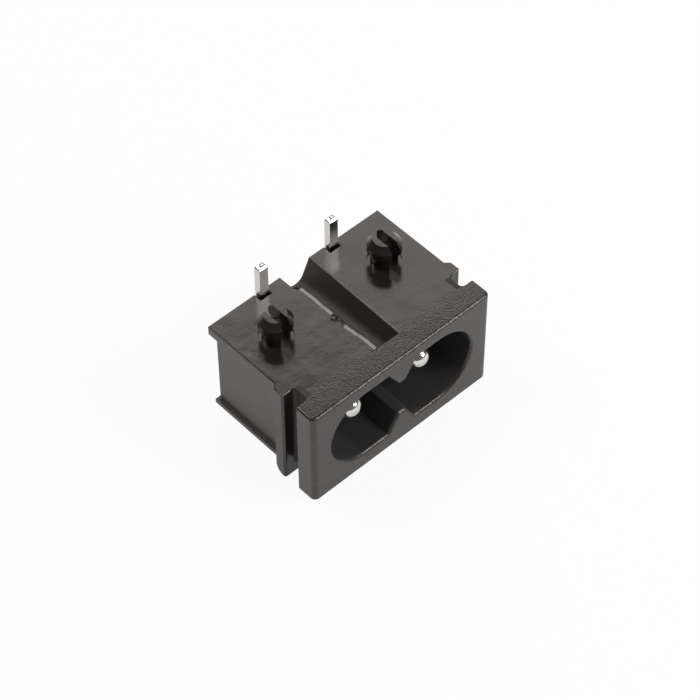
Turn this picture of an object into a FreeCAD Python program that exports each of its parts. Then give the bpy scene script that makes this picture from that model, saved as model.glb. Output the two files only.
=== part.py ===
import FreeCAD, Part
import math
import os

# Figure eight mains inlet for a circuit board, lying with its board side up.
# Millimetres. X runs along the front flange, Y from the front face to the back, Z up.
# The origin is under the middle of the whole socket, on the surface that it stands on.

# Overall size, from the front face to the riveted ends of the contact pins
width = 22.0
height = 12.0
depth = 15.0

# Front flange
flange_thickness = 2.35
flange_corner_radius = 0.6
flange_edge_radius = 0.3

# Groove for the wall of the appliance, and the rib behind it
groove_width = 1.65
groove_depth = 1.4
groove_end_radius = 0.45
groove_lip_radius = 0.3
rib_thickness = 1.2
rib_ramp_length = 0.45
rib_foot_radius = 1.1

# Body behind the flange
seat_plate_inset = 0.48
seat_plate_thickness = 1.1
seat_edge_inset = 0.35
side_wall_inset = 0.8
body_lift = 1.4
bottom_plate_inset = 0.42
bottom_plate_thickness = 0.5
bottom_plate_overhang = 0.3
plate_edge_radius = 0.15

# Trough between the two halves of the seat, narrower and shallower towards the flange
trough_half_width = 1.87
trough_depth_back = 2.5
trough_depth_front = 2.05
trough_floor_radius = 1.1
trough_wall = 0.9

# Figure eight cavity, by the walls that it leaves and the tooth above and below its waist
roof_wall = 1.6
bottom_wall = 0.6
end_wall = 1.5
back_wall_thickness = 1.5
tooth_rise = 2.075
tooth_half_base = 1.75
tooth_half_tip = 0.45
tooth_tip_radius = 0.2
cavity_rim_radius = 0.35

# Contact pins
pin_spacing = 8.6
pin_diameter = 2.4
pin_recess = 1.5
pin_tip_radius = 1.1
pin_shank_diameter = 3.0
spigot_diameter = 1.4
rivet_diameter = 2.2
rivet_height = 0.35
rivet_bevel = 0.2
fit_clearance = 0.01

# Solder terminals behind the back wall
terminal_thickness = 0.75
terminal_width = 1.0
terminal_rise = 3.85
terminal_tip_chamfer = 0.25
eye_diameter = 3.6
eye_root_radius = 0.6
notch_side_clearance = 0.1
notch_front_clearance = 0.18

# Split locating pegs on the board side
peg_spacing = 13.4
peg_from_front = 9.65
peg_shaft_diameter = 2.65
peg_relief_width = 0.35
peg_relief_depth = 0.15
peg_head_diameter = 3.3
peg_top_diameter = 2.2
peg_shoulder_height = 1.25
peg_barb_rise = 0.2
peg_band_top = 2.25
peg_height = 2.95
peg_slot_width = 1.0

# Extra length of a cutting body past the surface that it cuts
overcut = 1.0

front = -depth / 2
back = depth / 2
half_width = width / 2
flange_back = front + flange_thickness
groove_back = flange_back + groove_width
rib_back = groove_back + rib_thickness
ramp_end = rib_back + rib_ramp_length
back_wall = back - rivet_height - terminal_thickness
seat_back = back - seat_edge_inset
seat_half_width = half_width - seat_plate_inset
wall_half_width = half_width - side_wall_inset
core_half_width = half_width - groove_depth
cavity_floor = back_wall - back_wall_thickness
cavity_low = body_lift + bottom_wall
cavity_high = height - roof_wall
cavity_middle = (cavity_low + cavity_high) / 2
cavity_half_width = wall_half_width - end_wall
V = FreeCAD.Vector


def block(x0, x1, y0, y1, z0, z1):
    return Part.makeBox(x1 - x0, y1 - y0, z1 - z0, V(x0, y0, z0))


def face_of(edges):
    return Part.Face(Part.Wire(Part.__sortEdges__(edges)))


def line(a, b):
    return Part.makeLine(a, b)


def arc(a, mid, b):
    return Part.Arc(a, mid, b).toShape()


def polygon(points):
    return Part.Face(Part.makePolygon(points + [points[0]]))


def mirrored(shape):
    return shape.mirror(V(0, 0, 0), V(1, 0, 0))


def near(a, b):
    return abs(a - b) < 1e-4


def edges_where(shape, test):
    return [edge for edge in shape.Edges if test(edge.BoundBox)]


# Flange: a plate with its front upright edges rounded in plan
def flange():
    r = flange_corner_radius
    bend = r * (1 - math.sqrt(0.5))
    left = -half_width
    right = half_width
    edges = [
        line(V(left, flange_back, 0), V(left, front + r, 0)),
        arc(V(left, front + r, 0), V(left + bend, front + bend, 0), V(left + r, front, 0)),
        line(V(left + r, front, 0), V(right - r, front, 0)),
        arc(V(right - r, front, 0), V(right - bend, front + bend, 0), V(right, front + r, 0)),
        line(V(right, front + r, 0), V(right, flange_back, 0)),
        line(V(right, flange_back, 0), V(left, flange_back, 0)),
    ]
    plate = face_of(edges).extrude(V(0, 0, height))
    rim = edges_where(plate, lambda box: near(box.ZLength, 0) and not near(box.YMin, flange_back))
    return plate.makeFillet(flange_edge_radius, rim)


# Rib behind the groove: ramped at both sides in plan, rounded at its foot
def rib():
    plan = polygon([
        V(-half_width, groove_back, 0),
        V(half_width, groove_back, 0),
        V(half_width, rib_back, 0),
        V(seat_half_width, ramp_end, 0),
        V(-seat_half_width, ramp_end, 0),
        V(-half_width, rib_back, 0),
    ]).extrude(V(0, 0, height))
    r = rib_foot_radius
    bend = r * (1 - math.sqrt(0.5))
    x = -half_width
    foot = rib_back - r
    side = face_of([
        line(V(x, groove_back, 0), V(x, foot, 0)),
        arc(V(x, foot, 0), V(x, rib_back - bend, bend), V(x, rib_back, r)),
        line(V(x, rib_back, r), V(x, rib_back, body_lift)),
        line(V(x, rib_back, body_lift), V(x, ramp_end, body_lift)),
        line(V(x, ramp_end, body_lift), V(x, ramp_end, height)),
        line(V(x, ramp_end, height), V(x, groove_back, height)),
        line(V(x, groove_back, height), V(x, groove_back, 0)),
    ]).extrude(V(width, 0, 0))
    return plan.common(side)


# Lean of a flank from upright, where it meets a round floor of this radius
def flank_lean(half, deep, radius):
    return math.acos(radius / math.hypot(half, deep - radius)) - math.atan2(deep - radius, half)


# Section across the trough: two flanks that meet in a round floor, carried up past the seat
def trough_section(y, half, deep, radius, top):
    lean = flank_lean(half, deep, radius)
    centre = height - deep + radius
    side = radius * math.cos(lean)
    low = centre - radius * math.sin(lean)
    wide = half + top * math.tan(lean)
    return Part.Face(Part.Wire([
        line(V(-wide, y, height + top), V(-side, y, low)),
        arc(V(-side, y, low), V(0, y, centre - radius), V(side, y, low)),
        line(V(side, y, low), V(wide, y, height + top)),
        line(V(wide, y, height + top), V(-wide, y, height + top)),
    ]))


# The floor falls towards the back, so the trough also widens that way at the seat
def trough():
    run = seat_back - flange_back
    fall = math.degrees(math.atan2(trough_depth_back - trough_depth_front, run))
    section = trough_section(flange_back - overcut, trough_half_width, trough_depth_back,
                             trough_floor_radius, 2 * overcut)
    prism = section.extrude(V(0, run + 2 * overcut, 0))
    prism.rotate(V(0, seat_back, height), V(1, 0, 0), -fall)
    room = block(-half_width, half_width, flange_back, seat_back + overcut, 0, height + overcut)
    return prism.common(room)


# The wall under the trough where it stands out past the back wall
def trough_shell():
    lean = flank_lean(trough_half_width, trough_depth_back, trough_floor_radius)
    section = trough_section(cavity_floor, trough_half_width + trough_wall / math.cos(lean),
                             trough_depth_back + trough_wall, trough_floor_radius + trough_wall, 0)
    return section.extrude(V(0, seat_back - cavity_floor, 0))


def body():
    core = block(-wall_half_width, wall_half_width, groove_back, back_wall, body_lift, height)
    neck_half_width = core_half_width + groove_end_radius
    neck = block(-neck_half_width, neck_half_width, flange_back, groove_back, body_lift, height)
    bottom_half_width = half_width - bottom_plate_inset
    bottom = block(-bottom_half_width, bottom_half_width, groove_back,
                   back_wall + bottom_plate_overhang, body_lift, body_lift + bottom_plate_thickness)
    seat = block(-seat_half_width, seat_half_width, groove_back, seat_back,
                 height - seat_plate_thickness, height)
    return core.fuse([neck, bottom, seat, trough_shell()])


# Groove at one side: open outwards, with round inner corners
def side_groove():
    r = groove_end_radius
    bend = r * (1 - math.sqrt(0.5))
    inner = core_half_width
    outer = half_width + overcut
    edges = [
        line(V(outer, flange_back, 0), V(inner + r, flange_back, 0)),
        arc(V(inner + r, flange_back, 0), V(inner + bend, flange_back + bend, 0),
            V(inner, flange_back + r, 0)),
        line(V(inner, flange_back + r, 0), V(inner, groove_back - r, 0)),
        arc(V(inner, groove_back - r, 0), V(inner + bend, groove_back - bend, 0),
            V(inner + r, groove_back, 0)),
        line(V(inner + r, groove_back, 0), V(outer, groove_back, 0)),
        line(V(outer, groove_back, 0), V(outer, flange_back, 0)),
    ]
    return face_of(edges).extrude(V(0, 0, height + overcut))


# What rounds the upright edges of the flange and the rib at the groove's mouth
def groove_lips():
    r = groove_lip_radius
    x = half_width - r
    lips = []
    for start, centre in ((flange_back - r, flange_back - r), (groove_back, groove_back + r)):
        corner = block(x, half_width + overcut, start, start + r, -overcut, height + overcut)
        core = Part.makeCylinder(r, height + 4 * overcut, V(x, centre, -2 * overcut))
        lips.append(corner.cut(core))
    return lips


# Outline of the figure eight: two round lobes and a blunt tooth above and below the waist
def figure_eight(y):
    c = cavity_middle
    low = cavity_low
    high = cavity_high
    tip_low = low + tooth_rise
    tip_high = high - tooth_rise
    b = tooth_half_base
    t = tooth_half_tip
    end = cavity_half_width
    x = end - (high - low) / 2
    return Part.Wire([
        line(V(b, y, low), V(x, y, low)),
        arc(V(x, y, low), V(end, y, c), V(x, y, high)),
        line(V(x, y, high), V(b, y, high)),
        line(V(b, y, high), V(t, y, tip_high)),
        line(V(t, y, tip_high), V(-t, y, tip_high)),
        line(V(-t, y, tip_high), V(-b, y, high)),
        line(V(-b, y, high), V(-x, y, high)),
        arc(V(-x, y, high), V(-end, y, c), V(-x, y, low)),
        line(V(-x, y, low), V(-b, y, low)),
        line(V(-b, y, low), V(-t, y, tip_low)),
        line(V(-t, y, tip_low), V(t, y, tip_low)),
        line(V(t, y, tip_low), V(b, y, low)),
    ])


def cavity():
    run = cavity_floor - front + overcut
    solid = Part.Face(figure_eight(front - overcut)).extrude(V(0, run, 0))
    tips = edges_where(solid, lambda box: near(box.XLength, 0) and near(box.ZLength, 0)
                       and abs(box.XMin) < tooth_half_tip + 1e-4)
    return solid.makeFillet(tooth_tip_radius, tips)


def pin_bore(x):
    radius = pin_shank_diameter / 2 + fit_clearance
    return Part.makeCylinder(radius, back - cavity_floor + overcut,
                             V(x, cavity_floor - overcut / 2, cavity_middle), V(0, 1, 0))


def terminal_notch(x):
    half = terminal_width / 2 + notch_side_clearance
    return block(x - half, x + half, back_wall - notch_front_clearance, seat_back + overcut,
                 height - seat_plate_thickness, height + overcut)


# Relief around a peg's foot, so that the board lies flat on the seat
def peg_relief(x):
    radius = peg_shaft_diameter / 2 + peg_relief_width
    return Part.makeCylinder(radius, peg_relief_depth + overcut,
                             V(x, front + peg_from_front, height - peg_relief_depth))


# One locating peg: a turned form with a barbed, tapered head, split along Y
def peg(x):
    shaft = peg_shaft_diameter / 2
    head = peg_head_diameter / 2
    top = peg_top_diameter / 2
    root = height - seat_plate_thickness / 2
    shoulder = height + peg_shoulder_height
    barb = shoulder + peg_barb_rise
    band = height + peg_band_top
    crown = height + peg_height
    profile = face_of([
        line(V(0, 0, root), V(shaft, 0, root)),
        line(V(shaft, 0, root), V(shaft, 0, shoulder)),
        line(V(shaft, 0, shoulder), V(head, 0, barb)),
        line(V(head, 0, barb), V(head, 0, band)),
        line(V(head, 0, band), V(top, 0, crown)),
        line(V(top, 0, crown), V(0, 0, crown)),
        line(V(0, 0, crown), V(0, 0, root)),
    ])
    solid = profile.revolve(V(0, 0, 0), V(0, 0, 1), 360)
    slot = block(-peg_slot_width / 2, peg_slot_width / 2, -head - overcut, head + overcut,
                 height - peg_relief_depth, crown + overcut)
    solid = solid.cut(slot)
    solid.translate(V(x, front + peg_from_front, 0))
    return solid


# Top edges of the seat, groove, trough and notches, and the mouth of the cavity
def softened(shape):
    def seat_edge(box):
        on_flange = box.YMax < flange_back - 1e-4
        on_flange_side = near(box.YMax, flange_back) and near(box.XLength, 0)
        return near(box.ZMin, height) and not on_flange and not on_flange_side

    def mouth_edge(box):
        return near(box.YMax, front) and max(abs(box.XMin), abs(box.XMax)) < core_half_width

    shape = shape.makeFillet(plate_edge_radius, edges_where(shape, seat_edge))
    return shape.makeFillet(cavity_rim_radius, edges_where(shape, mouth_edge))


def housing():
    shape = body().fuse([flange(), rib()])
    cuts = [side_groove(), mirrored(side_groove()), trough(), cavity()]
    for side in (-1, 1):
        x = side * pin_spacing / 2
        cuts.append(pin_bore(x))
        cuts.append(terminal_notch(x))
    shape = softened(shape.cut(cuts).removeSplitter())
    lips = groove_lips()
    shape = shape.cut(lips + [mirrored(lip) for lip in lips])
    places = (-peg_spacing / 2, peg_spacing / 2)
    shape = shape.cut([peg_relief(x) for x in places])
    return shape.fuse([peg(x) for x in places]).removeSplitter()


# Turned contact pin: rounded tip, thicker shank in the back wall, spigot riveted over the terminal
def contact_pin(x):
    radius = pin_diameter / 2
    tip = front + pin_recess
    nose = pin_tip_radius
    bend = nose * (1 - math.sqrt(0.5))
    flat = radius - nose
    shank = pin_shank_diameter / 2
    spigot = spigot_diameter / 2
    seat = back_wall + terminal_thickness
    head = rivet_diameter / 2
    end = seat + rivet_height
    profile = face_of([
        line(V(0, tip, 0), V(flat, tip, 0)),
        arc(V(flat, tip, 0), V(radius - bend, tip + bend, 0), V(radius, tip + nose, 0)),
        line(V(radius, tip + nose, 0), V(radius, cavity_floor, 0)),
        line(V(radius, cavity_floor, 0), V(shank, cavity_floor, 0)),
        line(V(shank, cavity_floor, 0), V(shank, back_wall, 0)),
        line(V(shank, back_wall, 0), V(spigot, back_wall, 0)),
        line(V(spigot, back_wall, 0), V(spigot, seat, 0)),
        line(V(spigot, seat, 0), V(head, seat, 0)),
        line(V(head, seat, 0), V(head, end - rivet_bevel, 0)),
        line(V(head, end - rivet_bevel, 0), V(head - rivet_bevel, end, 0)),
        line(V(head - rivet_bevel, end, 0), V(0, end, 0)),
        line(V(0, end, 0), V(0, tip, 0)),
    ])
    solid = profile.revolve(V(0, 0, 0), V(0, 1, 0), 360)
    solid.translate(V(x, 0, cavity_middle))
    return solid


# Stamped terminal: a round eye on the pin, with a tail that rises through the seat plate
def solder_terminal(x):
    eye = eye_diameter / 2
    half = terminal_width / 2
    top = height + terminal_rise
    z = cavity_middle
    disc = Part.makeCylinder(eye, terminal_thickness, V(x, back_wall, z), V(0, 1, 0))
    tail = block(x - half, x + half, back_wall, back_wall + terminal_thickness, z, top)
    tip = edges_where(tail, lambda box: near(box.ZMin, top))
    tail = tail.makeChamfer(terminal_tip_chamfer, tip)
    shape = disc.fuse(tail).removeSplitter()
    roots = edges_where(shape, lambda box: near(box.XLength, 0) and near(box.ZLength, 0)
                        and z < box.ZMin < top - 2 * terminal_tip_chamfer)
    shape = shape.makeFillet(eye_root_radius, roots)
    hole = Part.makeCylinder(spigot_diameter / 2 + fit_clearance, terminal_thickness + overcut,
                             V(x, back_wall - overcut / 2, z), V(0, 1, 0))
    return shape.cut(hole)


def main():
    os.makedirs("parts", exist_ok=True)
    pieces = {
        "housing": housing(),
        "left_contact_pin": contact_pin(-pin_spacing / 2),
        "right_contact_pin": contact_pin(pin_spacing / 2),
        "left_solder_terminal": solder_terminal(-pin_spacing / 2),
        "right_solder_terminal": solder_terminal(pin_spacing / 2),
    }
    for name, shape in pieces.items():
        box = shape.BoundBox
        print(name, "valid", shape.isValid(), "solids", len(shape.Solids), "faces", len(shape.Faces),
              "volume", round(shape.Volume, 2),
              "box", [round(v, 3) for v in (box.XMin, box.XMax, box.YMin, box.YMax, box.ZMin, box.ZMax)])
        shape.exportStep("parts/" + name + ".step")


main()
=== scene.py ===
import math

import bmesh
import bpy
from mathutils import Matrix, Vector, noise


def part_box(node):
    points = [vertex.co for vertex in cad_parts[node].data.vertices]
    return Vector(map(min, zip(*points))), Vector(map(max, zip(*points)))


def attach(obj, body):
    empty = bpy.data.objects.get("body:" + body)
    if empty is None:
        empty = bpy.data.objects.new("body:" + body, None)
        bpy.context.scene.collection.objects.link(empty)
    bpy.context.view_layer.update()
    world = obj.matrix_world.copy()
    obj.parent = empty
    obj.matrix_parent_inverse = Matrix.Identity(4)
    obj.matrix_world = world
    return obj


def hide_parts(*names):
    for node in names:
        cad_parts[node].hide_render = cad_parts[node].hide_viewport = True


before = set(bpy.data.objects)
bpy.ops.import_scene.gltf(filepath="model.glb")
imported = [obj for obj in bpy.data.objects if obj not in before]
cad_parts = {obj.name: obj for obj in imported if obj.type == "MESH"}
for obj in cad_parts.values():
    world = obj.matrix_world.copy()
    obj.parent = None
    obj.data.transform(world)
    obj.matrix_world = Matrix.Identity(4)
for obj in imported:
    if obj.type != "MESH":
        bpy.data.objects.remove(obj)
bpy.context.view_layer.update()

bl_info = {
    "name": "Figure Eight Inlet",
    "version": (1, 0, 0),
    "blender": (4, 5, 0),
    "location": "3D View > Sidebar > Inlet",
    "description": "Dresses a board-mounted figure eight mains inlet and sets its studio",
    "category": "Object",
}

MM = 0.001
ROOT = "root"
FRONT_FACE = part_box("housing")[0].y
TERMINAL_LOW, TERMINAL_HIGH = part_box("right_solder_terminal")

# Places on the moulding, in the part's own millimetres. Depths run back from the front face.
SEAT_HEIGHT = 12.0
FLANGE_DEPTH = 2.35
GROOVE_BACK = 4.0
GROOVE_REACH = 9.0
RIB_BACK = 5.3
SIDE_WALL_REACH = 10.0
SIDE_WALL_DROP = 0.6
CAVITY_HEIGHT = 6.2
CAVITY_REACH = 8.7
CAVITY_RISE = 4.2
CAVITY_DEPTH = 12.4
CAVITY_MOUTH = 0.12
TROUGH_HALF_WIDTH = 1.87
TROUGH_LOW = 8.8
TROUGH_EDGE = (1.5, 2.6)
SEAT_SCUFF = (-9.9, 2.1, 12.0)
GRAIN_END = 2.4
GRAIN_FADE = 1.1

# How many times paler than the body the marks and the painted light on the moulding are: specks partly
# painted sparkle, painted light in the trough, a scuff and a painted highlight on the trough's edge
SPECK_AND_SPARKLE_LIFT = 2.2
TROUGH_PAINTED_LIGHT_LIFT = 2.8
SCUFF_LIFT = 6.0
PAINTED_EDGE_HIGHLIGHT_LIFT = 14.0

# The flash along the trough's left edge: places along Y, each with its crest's place along X
FLASH_CREST = ((-5.15, -1.12), (-3.7, -1.10), (-2.6, -1.22), (-1.3, -1.34), (-0.9, -1.20),
               (0.9, -1.22), (2.0, -1.24), (3.4, -1.20), (4.8, -1.27), (5.1, -1.48), (5.3, -1.84))
FLASH_ROOT = 0.16
FLASH_LIFT = 0.003
FLASH_LIP = 0.03
FLASH_WANDER = 0.02
FLASH_RIPPLE = 0.003
FLASH_FADE = 0.4
FLASH_BLEND_COLUMNS = 3
FACET_START = -0.3
FACET_WIDTH = 0.32
CREASE_WIDTH = 0.12

# What the gate left in the flash: places and spreads along X and Y
GATE_STUB = (-1.46, 0.1)
GATE_STUB_SPREAD = (0.22, 0.3)
GATE_PIT = (-1.26, -0.5)
GATE_PIT_SPREAD = (0.14, 0.2)

# Degrees past which an edge stays sharp
MOULDING_CREASE = 28
FLASH_CREASE = 50
METAL_CREASE = 40

# Degrees past which a stamped edge is softened, and within which triangles make one flat face
STAMPED_EDGE = 50
FLAT_FACE = 0.3

# Points of a mesh that lie nearer than this are one
WELD = 0.0005 * MM

# The studio's soft boxes: the width of each and its place, in metres, with its face to the inlet
SOFT_BOXES = {
    "overhead": (0.30, Vector((0.272, 0.296, 0.298))),
    "front": (0.17, Vector((0.215, -0.265, 0.365))),
    "front_low": (0.17, Vector((0.215, -0.386, 0.235))),
    "back_left": (0.20, Vector((-0.14, 0.235, 0.41))),
}


class InletPlastic(bpy.types.PropertyGroup):
    """Finish of the black moulding."""
    colour: bpy.props.FloatVectorProperty(
        name="Colour", description="Body colour of the moulding",
        subtype="COLOR", size=3, min=0, max=1, default=(0.016, 0.0142, 0.0132))
    # Painted light: a paler colour painted inside the cavity to lift its shade.
    cavity_painted_light_colour: bpy.props.FloatVectorProperty(
        name="Cavity colour", description="Colour inside the cavity",
        subtype="COLOR", size=3, min=0, max=1, default=(0.054, 0.052, 0.052))
    # Painted light: the side walls behind the rib are painted paler, more towards the top.
    wall_painted_light_colour: bpy.props.FloatVectorProperty(
        name="Wall colour", description="Colour of the side walls behind the rib",
        subtype="COLOR", size=3, min=0, max=1, default=(0.085, 0.074, 0.071))
    grain_roughness: bpy.props.FloatProperty(
        name="Grain roughness", description="Roughness of the spark-eroded flange",
        subtype="FACTOR", min=0, max=1, default=0.24)
    seat_roughness: bpy.props.FloatProperty(
        name="Seat roughness", description="Roughness of the body and the board side",
        subtype="FACTOR", min=0, max=1, default=0.18)
    smooth_roughness: bpy.props.FloatProperty(
        name="Smooth roughness", description="Roughness inside the cavity, trough and grooves",
        subtype="FACTOR", min=0, max=1, default=0.34)
    grain_size: bpy.props.FloatProperty(
        name="Grain size", description="Width of one pit of the grain",
        subtype="DISTANCE", unit="LENGTH", default=0.17 * MM)
    grain_depth: bpy.props.FloatProperty(
        name="Grain depth", description="Depth of the grain",
        subtype="DISTANCE", unit="LENGTH", default=0.036 * MM)
    sheen: bpy.props.FloatVectorProperty(
        name="Sheen", description="Tint of what the moulding mirrors",
        subtype="COLOR", size=3, min=0, max=1, default=(1.0, 0.93, 0.88))


class InletMarks(bpy.types.PropertyGroup):
    """What the mould left on the seat beside the trough."""
    flash_rows: bpy.props.IntProperty(
        name="Flash rows", description="Rows along the flash", min=20, default=170)
    flash_columns: bpy.props.IntProperty(
        name="Flash columns", description="Columns across the flash", min=8, default=28)
    flash_thickness: bpy.props.FloatProperty(
        name="Flash thickness", description="Thickness of the ledge of flash",
        subtype="DISTANCE", unit="LENGTH", default=0.13 * MM)
    bead_height: bpy.props.FloatProperty(
        name="Bead height", description="Height of the raised edge of the flash",
        subtype="DISTANCE", unit="LENGTH", default=0.075 * MM)
    crease_depth: bpy.props.FloatProperty(
        name="Crease depth", description="Depth of the crease beside the bead",
        subtype="DISTANCE", unit="LENGTH", default=0.05 * MM)
    gate_height: bpy.props.FloatProperty(
        name="Gate height", description="Height of the stub that the gate left",
        subtype="DISTANCE", unit="LENGTH", default=0.08 * MM)
    pit_depth: bpy.props.FloatProperty(
        name="Pit depth", description="Depth of the pit beside the stub",
        subtype="DISTANCE", unit="LENGTH", default=0.2 * MM)


class InletMetal(bpy.types.PropertyGroup):
    """Finish of the contacts and terminals."""
    pin_colour: bpy.props.FloatVectorProperty(
        name="Pin colour", description="Nickel plate of the contact pins",
        subtype="COLOR", size=3, min=0, max=1, default=(0.76, 0.74, 0.70))
    terminal_colour: bpy.props.FloatVectorProperty(
        name="Terminal colour", description="Tin plate of the solder terminals",
        subtype="COLOR", size=3, min=0, max=1, default=(0.72, 0.71, 0.69))
    terminal_bevel: bpy.props.FloatProperty(
        name="Terminal bevel", description="Width of the softened edges of a terminal",
        subtype="DISTANCE", unit="LENGTH", default=0.13 * MM)
    pin_tip_radius: bpy.props.FloatProperty(
        name="Pin tip radius", description="Rounding of a contact pin's tip",
        subtype="DISTANCE", unit="LENGTH", default=1.1 * MM)
    pin_radius: bpy.props.FloatProperty(
        name="Pin radius", description="Half the diameter of a contact pin",
        subtype="DISTANCE", unit="LENGTH", default=1.2 * MM)
    pin_sides: bpy.props.IntProperty(
        name="Pin sides", description="Faces around a contact pin", min=12, default=64)


class InletStudio(bpy.types.PropertyGroup):
    """Camera, lamps and floor."""
    azimuth: bpy.props.FloatProperty(
        name="Azimuth", description="Camera's turn about the inlet, 0 from the front",
        subtype="ANGLE", default=math.radians(-42.534))
    elevation: bpy.props.FloatProperty(
        name="Elevation", description="Camera's height above the horizon",
        subtype="ANGLE", default=math.radians(50.498))
    roll: bpy.props.FloatProperty(
        name="Roll", description="Camera's turn about its own axis",
        subtype="ANGLE", default=math.radians(0.335))
    distance: bpy.props.FloatProperty(
        name="Distance", description="Camera's distance from the point that it looks at",
        subtype="DISTANCE", unit="LENGTH", default=236.64 * MM)
    lens: bpy.props.FloatProperty(
        name="Lens", description="Focal length in millimetres on a 36 mm sensor",
        unit="CAMERA", default=131.05)
    sky: bpy.props.FloatProperty(
        name="Sky", description="Strength of the even light from all round", min=0, default=0.14)
    overhead: bpy.props.FloatProperty(
        name="Overhead", description="Power of the large soft box behind and above, in watts",
        unit="POWER", min=0, default=0.62)
    front: bpy.props.FloatProperty(
        name="Front", description="Power of the soft box at the front right, in watts",
        unit="POWER", min=0, default=0.65)
    front_low: bpy.props.FloatProperty(
        name="Front low", description="Power of the soft box under the front one, in watts",
        unit="POWER", min=0, default=0.9)
    back_left: bpy.props.FloatProperty(
        name="Back left", description="Power of the small soft box at the back left, in watts",
        unit="POWER", min=0, default=0.8)
    floor_colour: bpy.props.FloatVectorProperty(
        name="Floor colour", description="Colour of the table",
        subtype="COLOR", size=3, min=0, max=1, default=(0.97, 0.965, 0.96))
    floor_seen_white: bpy.props.FloatProperty(
        name="Floor seen white", description="Share of plain white in the table that the camera sees",
        subtype="FACTOR", min=0, max=1, default=0.93)
    floor_mirrored_white: bpy.props.FloatProperty(
        name="Floor mirrored white", description="Share of plain white in the table that shows in gloss",
        subtype="FACTOR", min=0, max=1, default=0.5)


class Socket:
    """An output socket. Arithmetic on it adds Math nodes beside it."""

    def __init__(self, graph, socket):
        self.graph = graph
        self.socket = socket

    def math(self, operation, *values):
        inputs = dict(enumerate(values))
        return self.graph.node("ShaderNodeMath", {"operation": operation}, inputs)

    def __add__(self, other):
        return self.math("ADD", self, other)

    def __radd__(self, other):
        return self.math("ADD", other, self)

    def __sub__(self, other):
        return self.math("SUBTRACT", self, other)

    def __rsub__(self, other):
        return self.math("SUBTRACT", other, self)

    def __mul__(self, other):
        return self.math("MULTIPLY", self, other)

    def __rmul__(self, other):
        return self.math("MULTIPLY", other, self)

    def __abs__(self):
        return self.math("ABSOLUTE", self)

    def most(self, other):
        return self.math("MAXIMUM", self, other)

    def above(self, edge, softness):
        """1 where the value is over the edge, falling smoothly to 0 below it."""
        settings = {"interpolation_type": "SMOOTHSTEP"}
        inputs = {"Value": self, "From Min": edge - softness, "From Max": edge + softness}
        return self.graph.node("ShaderNodeMapRange", settings, inputs)

    def below(self, edge, softness):
        return 1 - self.above(edge, softness)

    def between(self, low, high, softness):
        return self.above(low, softness) * self.below(high, softness)


class Graph:
    """The nodes of one material, or of the world."""

    def __init__(self, holder):
        self.holder = holder
        holder.use_nodes = True
        self.tree = holder.node_tree
        self.tree.nodes.clear()

    def node(self, kind, settings=None, inputs=None, output=0):
        """A node of any kind, with its settings, then the values or links of its sockets."""
        node = self.tree.nodes.new(kind)
        for name, value in (settings or {}).items():
            setattr(node, name, value)
        for name, value in (inputs or {}).items():
            if isinstance(value, Socket):
                self.tree.links.new(value.socket, node.inputs[name])
            else:
                node.inputs[name].default_value = value
        if not node.outputs:
            return node
        return Socket(self, node.outputs[output])

    def place(self):
        """Object coordinates in millimetres."""
        spot = self.node("ShaderNodeTexCoord", output="Object")
        return self.node("ShaderNodeVectorMath", {"operation": "SCALE"},
                         {"Vector": spot, "Scale": 1 / MM})

    def away(self, vector, point):
        """Distance of a place from a point."""
        return self.node("ShaderNodeVectorMath", {"operation": "DISTANCE"},
                         {0: vector, 1: point}, "Value")

    def axis(self, vector, name):
        return self.node("ShaderNodeSeparateXYZ", inputs={"Vector": vector}, output=name)

    def noise(self, vector, size, detail, roughness):
        return self.node("ShaderNodeTexNoise", {"noise_dimensions": "3D"},
                         {"Vector": vector, "Scale": 1 / size, "Detail": detail,
                          "Roughness": roughness}, "Fac")

    def stretch(self, vector, scale):
        return self.node("ShaderNodeMapping", {"vector_type": "POINT"},
                         {"Vector": vector, "Scale": scale})

    def mix(self, factor, first, second):
        return self.node("ShaderNodeMix", {"data_type": "RGBA"},
                         {"Factor": factor, "A": first, "B": second}, "Result")

    def bump(self, height, distance, normal=None):
        inputs = {"Height": height, "Distance": distance}
        if normal is not None:
            inputs["Normal"] = normal
        return self.node("ShaderNodeBump", None, inputs)

    def finish(self, inputs):
        """The material, with one Principled shader on top of what feeds it."""
        shader = self.node("ShaderNodeBsdfPrincipled", None, inputs)
        self.node("ShaderNodeOutputMaterial", None, {"Surface": shader})
        return self.holder


def colour(rgb, scale=1.0):
    """A colour with its alpha, brighter or darker by the scale."""
    return (rgb[0] * scale, rgb[1] * scale, rgb[2] * scale, 1.0)


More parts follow.
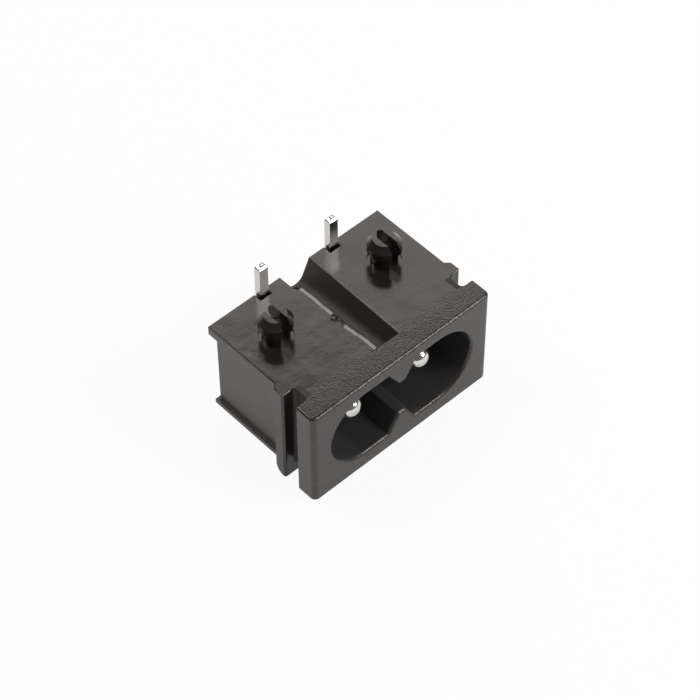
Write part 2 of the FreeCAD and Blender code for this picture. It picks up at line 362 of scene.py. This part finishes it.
def moulding_masks(g, place, grain):
    """Where the moulding's surfaces, its marks and its painted light lie, as masks from 0 to 1."""
    x = g.axis(place, "X")
    z = g.axis(place, "Z")
    depth = g.axis(place, "Y") - FRONT_FACE / MM
    reach = abs(x)
    soft = 0.05
    behind_flange = depth.above(FLANGE_DEPTH, soft)
    cavity = (reach.below(CAVITY_REACH, soft)
              * abs(z - CAVITY_HEIGHT).below(CAVITY_RISE + 0.02, soft)
              * depth.between(CAVITY_MOUTH, CAVITY_DEPTH + 0.3, 0.08))
    trough = (reach.below(TROUGH_HALF_WIDTH, soft)
              * z.between(TROUGH_LOW, SEAT_HEIGHT - 0.1, soft) * behind_flange)
    groove = (reach.above(GROOVE_REACH, soft)
              * depth.between(FLANGE_DEPTH + 0.02, GROOVE_BACK - 0.02, 0.02))
    smooth = cavity.most(trough).most(groove)
    wall = (reach.above(SIDE_WALL_REACH, soft) * z.below(SEAT_HEIGHT - SIDE_WALL_DROP, 0.3)
            * depth.above(RIB_BACK, 0.08))
    # Painted highlight: a thin band along the trough's right edge, just under the seat's top.
    painted_edge_highlight = (x.between(*TROUGH_EDGE, soft) * behind_flange
                 * z.between(SEAT_HEIGHT - 0.12, SEAT_HEIGHT - 0.012, 0.008))
    scuff = g.away(place, SEAT_SCUFF).below(0.25, 0.2) * grain.above(0.45, 0.1)
    return {
        "cavity": cavity,
        "trough": trough,
        "shaded": groove.most(trough),
        "smooth": smooth,
        "eroded": depth.below(GRAIN_END, GRAIN_FADE) * (1 - smooth),
        "wall": wall,
        # Painted light on the side walls: paler towards the top.
        "wall_painted_light": wall * (0.4 + z * 0.05),
        "painted_edge_highlight": painted_edge_highlight,
        "scuff": scuff,
    }


def black_moulding():
    """Black thermoplastic: spark-eroded outside, smooth where cores and slides formed it."""
    plastic = bpy.context.scene.inlet_plastic
    g = Graph(bpy.data.materials.new("black_moulding"))
    place = g.place()
    grain = g.noise(place, size=plastic.grain_size / MM, detail=2.0, roughness=0.5)
    broad = g.noise(place, size=2.6, detail=3.0, roughness=0.55)
    drawn = g.stretch(place, (0.35, 1.0, 1.0))
    flow = g.noise(drawn, size=1.1, detail=4.0, roughness=0.6)
    masks = moulding_masks(g, place, grain)
    return g.finish({
        "Base Color": moulding_shade(g, plastic, masks, grain, broad),
        "Roughness": moulding_roughness(plastic, masks, grain, broad, flow),
        "Normal": moulding_relief(g, plastic, masks, grain, broad, flow),
        "IOR": 1.55,
        "Specular Tint": colour(plastic.sheen),
    })


def moulding_shade(g, plastic, masks, grain, broad):
    """Faint clouds in the black; paler specks on the grain, partly painted sparkle; a paler scuff;
    painted light in the cavity, the trough and on the side walls, paler towards the top; a painted
    highlight along the trough's right edge.
    """
    body = plastic.colour
    shade = g.mix(broad, colour(body, 0.86), colour(body, 1.14))
    # Paler specks on the grain: partly the grain's own tone, partly painted sparkle.
    specks_and_sparkle = grain.above(0.55, 0.12) * (0.15 + masks["eroded"])
    shade = g.mix(specks_and_sparkle, shade, colour(body, SPECK_AND_SPARKLE_LIFT))
    shade = g.mix(masks["scuff"] * 0.6, shade, colour(body, SCUFF_LIFT))
    # Painted light: the cavity is painted paler to lift its shade.
    shade = g.mix(masks["cavity"] * 0.8, shade, colour(plastic.cavity_painted_light_colour))
    # Painted light: the trough is painted paler to lift its shade.
    shade = g.mix(masks["trough"] * 0.6, shade, colour(body, TROUGH_PAINTED_LIGHT_LIFT))
    # Painted light on the side walls behind the rib, paler towards the top.
    shade = g.mix(masks["wall_painted_light"], shade, colour(plastic.wall_painted_light_colour))
    # Painted highlight along the trough's right edge.
    return g.mix(masks["painted_edge_highlight"] * 0.9, shade, colour(body, PAINTED_EDGE_HIGHLIGHT_LIFT))


def moulding_roughness(plastic, masks, grain, broad, flow):
    eroded = masks["eroded"]
    outside = (plastic.seat_roughness + eroded * (plastic.grain_roughness - plastic.seat_roughness)
               + (flow - 0.5) * 0.1 + (grain - 0.5) * (0.04 + eroded * 0.1) + masks["wall"] * 0.2)
    inside = plastic.smooth_roughness + (broad - 0.5) * 0.06 + masks["shaded"] * 0.25
    return outside * (1 - masks["smooth"]) + inside * masks["smooth"]


def moulding_relief(g, plastic, masks, grain, broad, flow):
    """Sink and flow marks all over, under the grain of the flange."""
    relief = g.bump(broad, 0.04 * MM)
    relief = g.bump(flow, 0.008 * MM, relief)
    return g.bump(grain * (0.06 + masks["eroded"]), plastic.grain_depth, relief)


def nickel_plate():
    """Turned pins: fine rings from the lathe under a bright plate."""
    metal = bpy.context.scene.inlet_metal
    g = Graph(bpy.data.materials.new("nickel_plate"))
    place = g.place()
    turned = g.stretch(place, (0.4, 22.0, 0.4))
    rings = g.noise(turned, size=1.0, detail=2.0, roughness=0.5)
    haze = g.noise(place, size=0.9, detail=3.0, roughness=0.6)
    shade = g.mix(haze, colour(metal.pin_colour, 0.9), colour(metal.pin_colour, 1.06))
    rough = 0.1 + haze * 0.08 + rings * 0.05
    relief = g.bump(rings, 0.0012 * MM)
    return g.finish({"Base Color": shade, "Metallic": 1.0, "Roughness": rough, "Normal": relief})


def tin_plate():
    """Stamped terminals: a bright tin plate with faint streaks up the tails."""
    metal = bpy.context.scene.inlet_metal
    g = Graph(bpy.data.materials.new("tin_plate"))
    place = g.place()
    rolled = g.stretch(place, (9.0, 9.0, 0.7))
    streak = g.noise(rolled, size=1.0, detail=3.0, roughness=0.6)
    haze = g.noise(place, size=0.8, detail=3.0, roughness=0.6)
    shade = g.mix(haze, colour(metal.terminal_colour, 0.86), colour(metal.terminal_colour, 1.08))
    rough = 0.13 + haze * 0.1 + streak * 0.06
    relief = g.bump(streak, 0.002 * MM)
    return g.finish({"Base Color": shade, "Metallic": 1.0, "Roughness": rough, "Normal": relief})


def new_piece(name, bm, material, crease, replaced=()):
    """A finished piece from a bmesh in metres, riding on the part's one body."""
    shade_by_angle(bm, crease)
    mesh = bpy.data.meshes.new(name)
    bm.to_mesh(mesh)
    bm.free()
    mesh.materials.append(material)
    piece = bpy.data.objects.new(name, mesh)
    bpy.context.scene.collection.objects.link(piece)
    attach(piece, ROOT)
    if replaced:
        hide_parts(*replaced)
    normals = piece.modifiers.new("flat_faces_stay_flat", "WEIGHTED_NORMAL")
    normals.mode = "FACE_AREA"
    normals.weight = 90
    normals.keep_sharp = True


def shade_by_angle(bm, degrees):
    """Smooth faces, with a sharp edge wherever the surface turns by more than the angle."""
    for face in bm.faces:
        face.smooth = True
    for edge in bm.edges:
        edge.smooth = edge.calc_face_angle(math.pi) < math.radians(degrees)


def merged_copy(node):
    """The node's triangles as a closed mesh with whole flat faces."""
    bm = bmesh.new()
    bm.from_mesh(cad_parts[node].data)
    bmesh.ops.remove_doubles(bm, verts=bm.verts, dist=WELD)
    bmesh.ops.dissolve_limit(bm, angle_limit=math.radians(FLAT_FACE), verts=bm.verts, edges=bm.edges)
    return bm


def soften_edges(bm, width, degrees):
    """A small bevel on each long edge that turns by more than the given angle."""
    sharp = [edge for edge in bm.edges
             if len(edge.link_faces) == 2
             and edge.calc_face_angle(0) > math.radians(degrees)
             and edge.calc_length() > 3 * width]
    bmesh.ops.bevel(bm, geom=sharp, offset=width, offset_type="OFFSET", segments=3,
                    profile=0.5, affect="EDGES", clamp_overlap=True, material=-1)


class INLET_OT_housing(bpy.types.Operator):
    """Dress the moulded housing"""
    bl_idname = "inlet.housing"
    bl_label = "Housing"

    def execute(self, context):
        bm = merged_copy("housing")
        new_piece("housing_moulding", bm, plastic_finish(), MOULDING_CREASE, ["housing"])
        return {"FINISHED"}


def plastic_finish():
    """The moulding's material, made once for the housing and for the marks on it."""
    return bpy.data.materials.get("black_moulding") or black_moulding()


class INLET_OT_moulding_marks(bpy.types.Operator):
    """Grow the flash along the trough's left edge, with the stub and the pit of the gate in it"""
    bl_idname = "inlet.moulding_marks"
    bl_label = "Moulding marks"

    def execute(self, context):
        bm = flash_ledge(context.scene.inlet_marks)
        new_piece("trough_edge_flash", bm, plastic_finish(), FLASH_CREASE)
        return {"FINISHED"}


def flash_ledge(marks):
    """A thin ledge from the seat's edge over the trough, as a grid and its copy underneath."""
    thickness = marks.flash_thickness / MM
    root = -TROUGH_HALF_WIDTH - FLASH_ROOT
    first = FLASH_CREST[0][0]
    last = FLASH_CREST[-1][0]
    bm = bmesh.new()
    bmesh.ops.create_grid(bm, x_segments=marks.flash_columns, y_segments=marks.flash_rows, size=0.5)
    doubled = bmesh.ops.extrude_face_region(bm, geom=bm.faces[:], use_keep_orig=True)
    underside = {part for part in doubled["geom"] if isinstance(part, bmesh.types.BMVert)}
    for vert in bm.verts:
        share = vert.co.x + 0.5
        y = first + (last - first) * (vert.co.y + 0.5)
        crest = along(FLASH_CREST, y)
        edge = crest + FLASH_LIP + FLASH_WANDER * noise.noise(Vector((1.7, y * 3.1, 5.3)))
        x = root + (edge - root) * share
        if vert in underside:
            z = SEAT_HEIGHT - thickness * (2 - share)
        else:
            blend = min(1.0, share * marks.flash_columns / FLASH_BLEND_COLUMNS)
            z = SEAT_HEIGHT + FLASH_LIFT + flash_top(x, y, crest, marks) * blend
        vert.co = Vector((x, y, z)) * MM
    bmesh.ops.recalc_face_normals(bm, faces=bm.faces)
    return bm


def flash_top(x, y, crest, marks):
    """Millimetres over the seat: a crease, a facet up to the crest, the stub and the pit."""
    rise = ramp(x - crest, FACET_START, FACET_WIDTH)
    fall = ramp(x - crest, FACET_START - CREASE_WIDTH, CREASE_WIDTH)
    waver = 1 + 0.25 * noise.noise(Vector((3.1, y * 1.3, 0.7)))
    facet = (marks.bead_height * rise - marks.crease_depth * fall * (1 - rise)) / MM * waver
    stub = marks.gate_height / MM * mound(x, y, GATE_STUB, GATE_STUB_SPREAD)
    pit = marks.pit_depth / MM * mound(x, y, GATE_PIT, GATE_PIT_SPREAD)
    fine = FLASH_RIPPLE * noise.noise(Vector((x * 5.0, y * 4.0, 2.2)))
    fade = min(1.0, (FLASH_CREST[-1][0] - y) / FLASH_FADE)
    return (facet + stub - pit + fine) * fade


def along(table, at):
    """The value at a place on a table of (place, value) rows."""
    for (a, low), (b, high) in zip(table, table[1:]):
        if at <= b:
            return low + (high - low) * max(0.0, (at - a) / (b - a))
    return table[-1][1]


def ramp(at, start, width):
    """0 up to the start, then rising evenly to 1."""
    return min(1.0, max(0.0, (at - start) / width))


def mound(x, y, centre, spread):
    """1 at the centre, falling to 0 all round it."""
    return math.exp(-((x - centre[0]) / spread[0]) ** 2 - ((y - centre[1]) / spread[1]) ** 2)


class INLET_OT_contact_pins(bpy.types.Operator):
    """Turn the two contact pins"""
    bl_idname = "inlet.contact_pins"
    bl_label = "Contact pins"

    def execute(self, context):
        plate = nickel_plate()
        for side in ("left", "right"):
            node = side + "_contact_pin"
            low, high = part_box(node)
            bm = turned_pin(low, high, context.scene.inlet_metal)
            new_piece(side + "_pin_turned", bm, plate, METAL_CREASE, [node])
        return {"FINISHED"}


def turned_pin(low, high, metal):
    """A pin spun about its own axis, from its rounded tip to its riveted head."""
    centre = (low + high) / 2
    radius = metal.pin_radius
    nose = metal.pin_tip_radius
    shank = (high.x - low.x) / 2
    floor = FRONT_FACE + CAVITY_DEPTH * MM
    back = TERMINAL_LOW.y
    seat = TERMINAL_HIGH.y
    spigot = 0.7 * MM
    head = 1.1 * MM
    bevel = 0.2 * MM
    turns = 10
    outline = [(0.0, low.y), (radius - nose, low.y)]
    for i in range(1, turns + 1):
        turn = math.pi / 2 * i / turns
        outline.append((radius - nose + nose * math.sin(turn),
                        low.y + nose - nose * math.cos(turn)))
    outline += [(radius, floor), (shank, floor), (shank, back), (spigot, back), (spigot, seat),
                (head, seat), (head, high.y - bevel), (head - bevel, high.y), (0.0, high.y)]
    bm = bmesh.new()
    verts = [bm.verts.new((centre.x + r, y, centre.z)) for r, y in outline]
    edges = [bm.edges.new(pair) for pair in zip(verts, verts[1:])]
    bmesh.ops.spin(bm, geom=verts + edges, cent=centre, axis=(0, 1, 0), angle=2 * math.pi,
                   steps=metal.pin_sides, use_merge=True)
    bmesh.ops.remove_doubles(bm, verts=bm.verts, dist=WELD)
    bmesh.ops.recalc_face_normals(bm, faces=bm.faces)
    return bm


class INLET_OT_solder_terminals(bpy.types.Operator):
    """Dress the two stamped solder terminals"""
    bl_idname = "inlet.solder_terminals"
    bl_label = "Solder terminals"

    def execute(self, context):
        plate = tin_plate()
        for side in ("left", "right"):
            node = side + "_solder_terminal"
            bm = merged_copy(node)
            soften_edges(bm, context.scene.inlet_metal.terminal_bevel, STAMPED_EDGE)
            new_piece(side + "_terminal_stamped", bm, plate, METAL_CREASE, [node])
        return {"FINISHED"}


class INLET_OT_studio(bpy.types.Operator):
    """Set the floor, the lamps, the sky and the camera"""
    bl_idname = "inlet.studio"
    bl_label = "Studio"

    def execute(self, context):
        studio = context.scene.inlet_studio
        make_floor(studio)
        make_sky(studio)
        for name, (size, place) in SOFT_BOXES.items():
            make_lamp(name + "_box", getattr(studio, name), size, place)
        make_camera(studio)
        context.scene.view_settings.view_transform = "Standard"
        return {"FINISHED"}


def make_floor(studio):
    bm = bmesh.new()
    bmesh.ops.create_grid(bm, x_segments=8, y_segments=8, size=1.2)
    mesh = bpy.data.meshes.new("table_top")
    bm.to_mesh(mesh)
    bm.free()
    mesh.materials.append(pale_table(studio))
    floor = bpy.data.objects.new("table_top", mesh)
    bpy.context.scene.collection.objects.link(floor)


def pale_table(studio):
    """A pale table that shows nearly white to the camera and keeps the inlet's shadow."""
    g = Graph(bpy.data.materials.new("pale_table"))
    mottle = g.noise(g.place(), size=12.0, detail=3.0, roughness=0.5)
    tone = g.mix(mottle, colour(studio.floor_colour, 0.99), colour(studio.floor_colour, 1.01))
    paper = g.node("ShaderNodeBsdfDiffuse", None, {"Color": tone})
    white = g.node("ShaderNodeEmission", None, {"Color": (1, 1, 1, 1), "Strength": 1.0})
    seen = g.node("ShaderNodeLightPath", output="Is Camera Ray") * studio.floor_seen_white
    mirrored = g.node("ShaderNodeLightPath", output="Is Glossy Ray") * studio.floor_mirrored_white
    surface = g.node("ShaderNodeMixShader", None, {0: seen.most(mirrored), 1: paper, 2: white})
    g.node("ShaderNodeOutputMaterial", None, {"Surface": surface})
    return g.holder


def make_sky(studio):
    """Even light from all round, white where the camera looks past the table."""
    world = bpy.data.worlds.new("studio_sky")
    bpy.context.scene.world = world
    g = Graph(world)
    level = g.node("ShaderNodeLightPath", output="Is Camera Ray") * (1 - studio.sky) + studio.sky
    light = g.node("ShaderNodeBackground", None, {"Color": (1, 1, 1, 1), "Strength": level})
    g.node("ShaderNodeOutputWorld", None, {"Surface": light})


def make_lamp(name, power, size, place):
    """A square soft box that faces the inlet."""
    lamp = bpy.data.lights.new(name, "AREA")
    lamp.shape = "SQUARE"
    lamp.size = size
    lamp.energy = power
    holder = bpy.data.objects.new(name, lamp)
    holder.matrix_world = Matrix.LocRotScale(place, (-place).to_track_quat("-Z", "Y"), None)
    bpy.context.scene.collection.objects.link(holder)


def make_camera(studio):
    """The camera of the photograph, fitted to the inlet's corners."""
    aim = Vector((0.337, -0.024, 6.0)) * MM
    flat = math.cos(studio.elevation)
    back = Vector((math.sin(studio.azimuth) * flat, -math.cos(studio.azimuth) * flat,
                   math.sin(studio.elevation)))
    data = bpy.data.cameras.new("camera")
    data.lens = studio.lens
    data.sensor_width = 36.0
    data.clip_start = 0.01
    data.clip_end = 10.0
    camera = bpy.data.objects.new("camera", data)
    turn = (-back).to_track_quat("-Z", "Y").to_matrix() @ Matrix.Rotation(-studio.roll, 3, "Z")
    camera.matrix_world = Matrix.LocRotScale(aim + back * studio.distance, turn, None)
    bpy.context.scene.collection.objects.link(camera)
    bpy.context.scene.camera = camera


OPERATORS = (
    INLET_OT_housing,
    INLET_OT_moulding_marks,
    INLET_OT_contact_pins,
    INLET_OT_solder_terminals,
    INLET_OT_studio,
)
GROUPS = {
    "inlet_plastic": InletPlastic,
    "inlet_marks": InletMarks,
    "inlet_metal": InletMetal,
    "inlet_studio": InletStudio,
}


class INLET_PT_sidebar(bpy.types.Panel):
    """Sizes, finishes and makers of the inlet."""
    bl_idname = "INLET_PT_sidebar"
    bl_label = "Figure Eight Inlet"
    bl_space_type = "VIEW_3D"
    bl_region_type = "UI"
    bl_category = "Inlet"

    def draw(self, context):
        for name in GROUPS:
            box = self.layout.box()
            settings = getattr(context.scene, name)
            for prop in settings.__annotations__:
                box.prop(settings, prop)
        for operator in OPERATORS:
            self.layout.operator(operator.bl_idname)


def register():
    for name, group in GROUPS.items():
        bpy.utils.register_class(group)
        setattr(bpy.types.Scene, name, bpy.props.PointerProperty(type=group))
    for operator in OPERATORS:
        bpy.utils.register_class(operator)
    bpy.utils.register_class(INLET_PT_sidebar)


def unregister():
    bpy.utils.unregister_class(INLET_PT_sidebar)
    for operator in reversed(OPERATORS):
        bpy.utils.unregister_class(operator)
    for name, group in reversed(GROUPS.items()):
        delattr(bpy.types.Scene, name)
        bpy.utils.unregister_class(group)


def main():
    register()
    steps = (bpy.ops.inlet.housing, bpy.ops.inlet.moulding_marks, bpy.ops.inlet.contact_pins,
             bpy.ops.inlet.solder_terminals, bpy.ops.inlet.studio)
    for step in steps:
        if step() != {"FINISHED"}:
            raise RuntimeError("an operator was cancelled: " + step.idname())


if __name__ == "__main__":
    main()
